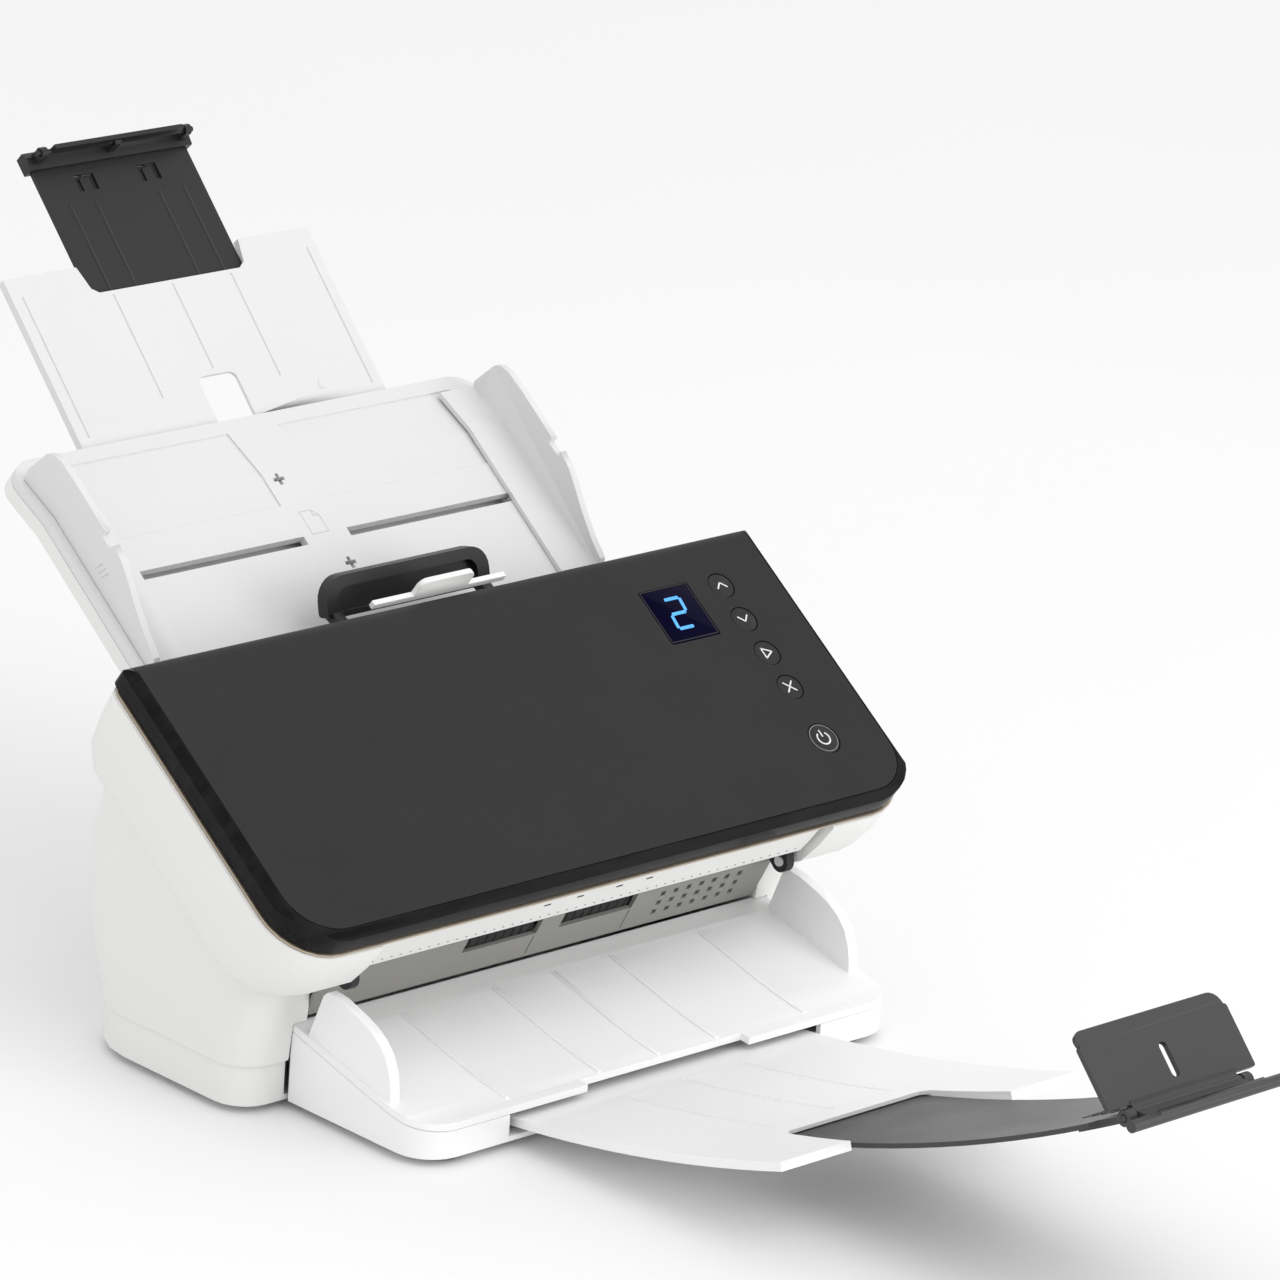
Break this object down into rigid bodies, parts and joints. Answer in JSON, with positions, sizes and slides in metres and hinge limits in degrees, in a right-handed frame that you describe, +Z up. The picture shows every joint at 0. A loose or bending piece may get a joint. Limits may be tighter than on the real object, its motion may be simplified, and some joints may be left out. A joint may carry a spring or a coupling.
{
  "type": "sheet fed document scanner",
  "caption": "Desktop sheet-fed scanner on a waisted white body: slanted black control panel, angled input tray with side guides, curved sliding output tray, opening cover over the paper path",
  "frame": {"origin": "centre of the whole object's length and width, on the table under the feet", "axes": "+X to the right as seen from the control panel, +Y to the back towards the input tray, +Z up"},
  "size_m": [0.3132, 0.5957, 0.2833],
  "materials": {
    "white_shell": "fine spark texture, satin",
    "black_shell": "fine texture, matte",
    "gloss_rim": "polished",
    "trim_line": "satin champagne paint",
    "grey_wall": "matte",
    "dark_frame": "matte moulded",
    "rubber": "ground rubber",
    "steel": "ground",
    "gear_plastic": "natural acetal",
    "display": "clear lens over a dark blue panel",
    "circuit_board": "solder mask"
  },
  "bodies": {
    "body": {"base_pan": "white_shell", "side_shell_left": "white_shell", "side_shell_right": "white_shell", "rear_cover": "white_shell", "transport_frame": "dark_frame", "exit_wall": "grey_wall", "output_housing": "white_shell", "output_plate": "white_shell", "foot_front_left": "rubber", "foot_front_right": "rubber", "foot_rear_left": "rubber", "foot_rear_right": "rubber", "main_board": "circuit_board", "dc_inlet": "black_shell", "usb_port": "steel", "lower_sensor": "dark_frame", "motor": "steel"},
    "feed_roller": {"feed_shaft": "steel", "feed_tyre": "rubber", "feed_gear": "gear_plastic"},
    "drive_roller": {"drive_shaft": "steel", "drive_tyre_left": "rubber", "drive_tyre_right": "rubber", "drive_gear": "gear_plastic"},
    "exit_roller": {"exit_shaft": "steel", "exit_tyre_left": "rubber", "exit_tyre_right": "rubber", "exit_gear": "gear_plastic"},
    "cross": {"cross_shaft": "gear_plastic"},
    "main_wheel": {"main_gear": "gear_plastic"},
    "idler_wheel": {"feed_idler": "gear_plastic"},
    "motor_pinion": {"motor_gear": "steel"},
    "cover": {"cover_chassis": "dark_frame", "cover_lip": "white_shell", "panel_face": "black_shell", "panel_rim": "gloss_rim", "accent_frame": "trim_line", "display_window": "display", "control_board": "circuit_board", "upper_sensor": "dark_frame"},
    "separator": {"separation_roller": "rubber"},
    "pinch": {"pinch_roller": "steel"},
    "lever": {"release_lever": "black_shell"},
    "gap_switch": {"gap_tab": "white_shell"},
    "tray": {"tray_top": "white_shell", "tray_under": "white_shell"},
    "guide_l": {"guide_left": "white_shell"},
    "guide_r": {"guide_right": "white_shell"},
    "pinion": {"guide_pinion": "gear_plastic"},
    "in_ext_1": {"input_extension_1": "white_shell"},
    "in_ext_2": {"input_extension_2": "black_shell"},
    "stop_bar": {"paper_stop": "black_shell"},
    "out_ext_1": {"output_extension_1": "white_shell"},
    "out_ext_2": {"output_extension_2": "black_shell"},
    "end_flap": {"end_stop": "black_shell"},
    "btn_up": {"button_up": "black_shell"},
    "btn_down": {"button_down": "black_shell"},
    "btn_start": {"button_start": "black_shell"},
    "btn_stop": {"button_stop": "black_shell"},
    "btn_power": {"button_power": "black_shell"}
  },
  "joints": [
    {"name": "main_turn", "type": "hinge", "parent": "body", "child": "main_wheel", "pos_m": [0, 0.07575, 0.06324], "axis": [1, 0, 0], "continuous": true},
    {"name": "motor_turn", "type": "hinge", "parent": "body", "child": "motor_pinion", "pos_m": [0, 0.05708, 0.03945], "axis": [1, 0, 0], "continuous": true},
    {"name": "drive_turn", "type": "hinge", "parent": "body", "child": "drive_roller", "pos_m": [0, 0.08464, 0.09424], "axis": [1, 0, 0], "continuous": true},
    {"name": "idler_turn", "type": "hinge", "parent": "body", "child": "idler_wheel", "pos_m": [0, 0.09964, 0.09149], "axis": [1, 0, 0], "continuous": true},
    {"name": "feed_turn", "type": "hinge", "parent": "body", "child": "feed_roller", "pos_m": [0, 0.10426, 0.10497], "axis": [1, 0, 0], "continuous": true},
    {"name": "cross_turn", "type": "hinge", "parent": "body", "child": "cross", "pos_m": [0, 0.04431, 0.04682], "axis": [1, 0, 0], "continuous": true},
    {"name": "exit_turn", "type": "hinge", "parent": "body", "child": "exit_roller", "pos_m": [0, 0.03279, 0.05101], "axis": [1, 0, 0], "continuous": true},
    {"name": "cover_open", "type": "hinge", "parent": "body", "child": "cover", "pos_m": [0, 0.0135, 0.05404], "axis": [1, 0, 0], "range_deg": [0, 60]},
    {"name": "separator_turn", "type": "hinge", "parent": "cover", "child": "separator", "pos_m": [0, 0.09143, 0.12083], "axis": [1, 0, 0], "continuous": true},
    {"name": "pinch_turn", "type": "hinge", "parent": "cover", "child": "pinch", "pos_m": [0, 0.07709, 0.10357], "axis": [1, 0, 0], "continuous": true},
    {"name": "lever_tip", "type": "hinge", "parent": "cover", "child": "lever", "pos_m": [0, 0.09446, 0.13954], "axis": [1, 0, 0], "range_deg": [0, 10], "stiffness_Nm_per_rad": 0.12},
    {"name": "gap_shift", "type": "slide", "parent": "cover", "child": "gap_switch", "axis": [1, 0, 0], "range_m": [-0.003, 0.003]},
    {"name": "press_up", "type": "slide", "parent": "cover", "child": "btn_up", "axis": [0, 0.5786, -0.8156], "range_m": [0, 0.0006], "stiffness_N_per_m": 500},
    {"name": "press_down", "type": "slide", "parent": "cover", "child": "btn_down", "axis": [0, 0.5786, -0.8156], "range_m": [0, 0.0006], "stiffness_N_per_m": 500},
    {"name": "press_start", "type": "slide", "parent": "cover", "child": "btn_start", "axis": [0, 0.5786, -0.8156], "range_m": [0, 0.0006], "stiffness_N_per_m": 500},
    {"name": "press_stop", "type": "slide", "parent": "cover", "child": "btn_stop", "axis": [0, 0.5786, -0.8156], "range_m": [0, 0.0006], "stiffness_N_per_m": 500},
    {"name": "press_power", "type": "slide", "parent": "cover", "child": "btn_power", "axis": [0, 0.5786, -0.8156], "range_m": [0, 0.0006], "stiffness_N_per_m": 500},
    {"name": "tray_fold", "type": "hinge", "parent": "body", "child": "tray", "pos_m": [0, 0.12675, 0.12829], "axis": [1, 0, 0], "range_deg": [0, 50]},
    {"name": "pinion_turn", "type": "hinge", "parent": "tray", "child": "pinion", "pos_m": [0, 0.15935, 0.15549], "axis": [0, -0.6018, 0.7986], "range_deg": [0, 615]},
    {"name": "guide_right_shift", "type": "slide", "parent": "tray", "child": "guide_r", "axis": [-1, 0, 0], "range_m": [0, 0.07489]},
    {"name": "guide_left_shift", "type": "slide", "parent": "tray", "child": "guide_l", "axis": [1, 0, 0], "range_m": [0, 0.07499]},
    {"name": "in_ext_1_slide", "type": "slide", "parent": "tray", "child": "in_ext_1", "axis": [0, -0.6947, -0.7193], "range_m": [0, 0.048]},
    {"name": "in_ext_2_slide", "type": "slide", "parent": "in_ext_1", "child": "in_ext_2", "axis": [0, -0.6947, -0.7193], "range_m": [0, 0.04]},
    {"name": "paper_stop_tip", "type": "hinge", "parent": "in_ext_2", "child": "stop_bar", "pos_m": [0, 0.28847, 0.27988], "axis": [1, 0, 0], "range_deg": [0, 80]},
    {"name": "out_ext_1_slide", "type": "hinge", "parent": "body", "child": "out_ext_1", "pos_m": [0, 0.0374, 0.6845], "axis": [1, 0, 0], "range_deg": [0, 9.3]},
    {"name": "out_ext_2_slide", "type": "hinge", "parent": "out_ext_1", "child": "out_ext_2", "pos_m": [0, 0.0374, 0.6845], "axis": [1, 0, 0], "range_deg": [0, 7.6]},
    {"name": "end_stop_fold", "type": "hinge", "parent": "out_ext_2", "child": "end_flap", "pos_m": [0, -0.28502, 0.08444], "axis": [-1, 0, 0], "range_deg": [0, 40]}
  ],
  "couplings": [
    {"joint": "motor_turn", "follows": "main_turn", "ratio": -4},
    {"joint": "drive_turn", "follows": "main_turn", "ratio": -3},
    {"joint": "idler_turn", "follows": "main_turn", "ratio": 3.4286},
    {"joint": "feed_turn", "follows": "main_turn", "ratio": -3.4286},
    {"joint": "cross_turn", "follows": "main_turn", "ratio": 2.8235},
    {"joint": "exit_turn", "follows": "main_turn", "ratio": -2.8235},
    {"joint": "guide_left_shift", "follows": "guide_right_shift", "ratio": 1},
    {"joint": "pinion_turn", "follows": "guide_right_shift", "rad_per_m": 142.86}
  ]
}
